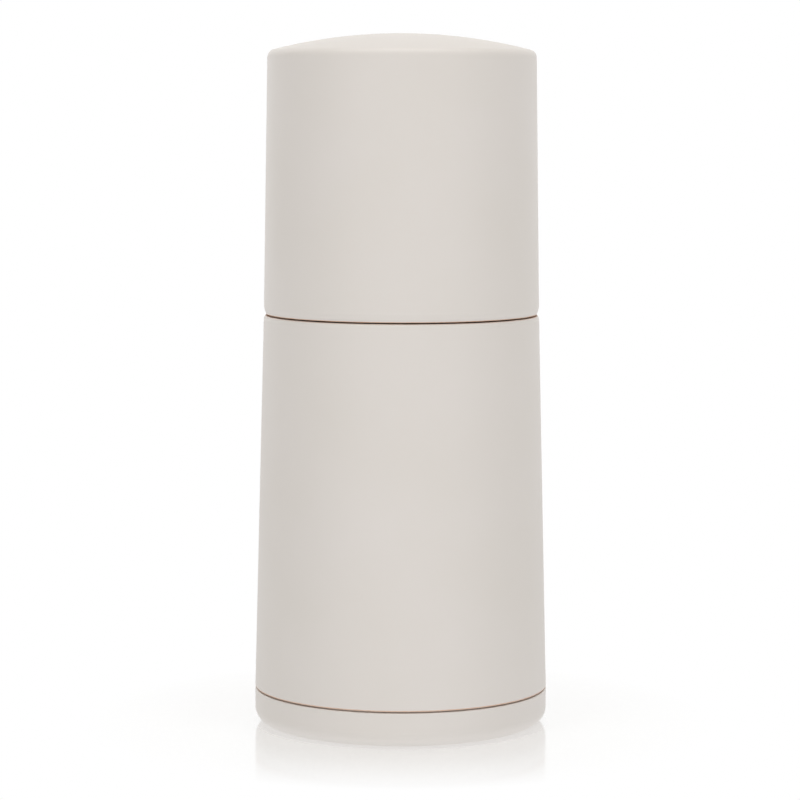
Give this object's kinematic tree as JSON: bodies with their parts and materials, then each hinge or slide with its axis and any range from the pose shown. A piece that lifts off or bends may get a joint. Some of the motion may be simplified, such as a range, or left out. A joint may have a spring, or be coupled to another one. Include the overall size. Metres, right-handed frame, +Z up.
{
  "type": "spice mill",
  "caption": "Twist-top spice mill: tapered body with a grater blade and base cap, and a domed top that turns a sprung claw plunger to rub whole spice on the blade.",
  "frame": {"origin": "centre of the foot, on the surface that the mill stands on", "axes": "+Z up along the axis that the top turns on; -Y towards the viewer"},
  "size_m": [0.0604, 0.0604, 0.142],
  "materials": {
    "shell": "soft matt moulded plastic, warm pale grey",
    "inner": "fine spark-textured moulded plastic, charcoal",
    "chamber": "satin moulded plastic, light warm grey",
    "steel": "stainless steel, brushed, etched or drawn by piece",
    "seal": "silicone cord, dark warm grey",
    "washer": "natural acetal, slightly waxy"
  },
  "bodies": {
    "base": {"base_cap": "shell", "base_seal": "seal"},
    "body": {"body_shell": "shell", "grinding_chamber": "chamber", "grater_blade": "steel", "blade_ring": "inner", "blade_screws": "steel"},
    "collar": {"bearing_collar": "inner", "collar_seal": "seal", "glide_washer": "washer"},
    "top": {"top_shell": "shell", "drive_hub": "inner", "hub_screws": "steel", "retaining_ring": "steel", "spring_washer": "steel", "pressure_spring": "steel"},
    "plunger": {"drive_stem": "steel", "stem_clip": "steel", "plunger_head": "inner", "claw_plate": "steel", "claw_screw": "steel"}
  },
  "joints": [
    {"name": "body_lift", "type": "slide", "parent": "base", "child": "body", "axis": [0, 0, 1], "range_m": [0, 0.03]},
    {"name": "top_lift", "type": "slide", "parent": "body", "child": "collar", "axis": [0, 0, 1], "range_m": [0, 0.075]},
    {"name": "top_turn", "type": "hinge", "parent": "collar", "child": "top", "pos_m": [0, 0, 0.0846], "axis": [0, 0, 1], "continuous": true},
    {"name": "plunger_slide", "type": "slide", "parent": "top", "child": "plunger", "axis": [0, 0, 1], "range_m": [0, 0.036], "stiffness_N_per_m": 150, "springref_m": -0.0174, "deforming": ["pressure_spring"]}
  ]
}
